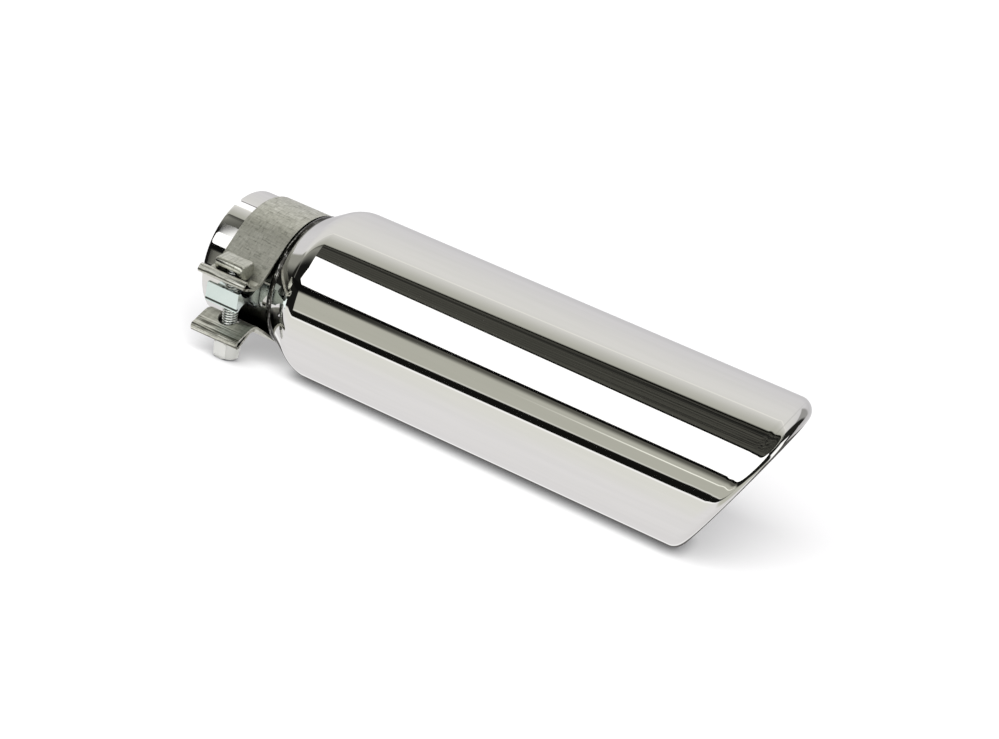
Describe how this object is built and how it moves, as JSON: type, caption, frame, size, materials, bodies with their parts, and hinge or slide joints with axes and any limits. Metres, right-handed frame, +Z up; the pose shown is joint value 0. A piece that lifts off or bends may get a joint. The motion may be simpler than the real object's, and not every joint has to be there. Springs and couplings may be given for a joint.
{
  "type": "exhaust tip",
  "caption": "Polished stainless exhaust tip with a slant-cut mouth rolled inwards and a slotted inlet neck that a T-bolt band clamp closes on the tailpipe.",
  "frame": {"origin": "centre of the inlet neck's open end, on the tip's axis", "axes": "+X along the tip's axis from the inlet to the mouth; +Z up as the tip lies at rest; the clamp bolt is on the -Y side"},
  "size_m": [0.3205, 0.1002, 0.0888],
  "materials": {
    "polished_stainless": "mirror polish",
    "weld_metal": "as welded, rippled",
    "brushed_stainless": "rolled strip, finely scratched",
    "bolt_steel": "plated, satin",
    "zinc_plate": "bright zinc plate"
  },
  "bodies": {
    "root": {"tip_body": "polished_stainless", "inlet_neck": "polished_stainless", "neck_weld": "weld_metal", "clamp_band": "brushed_stainless", "reaction_block": "zinc_plate", "t_bolt": "bolt_steel", "clamp_nut": "zinc_plate", "nut_seat": "zinc_plate"}
  },
  "joints": []
}
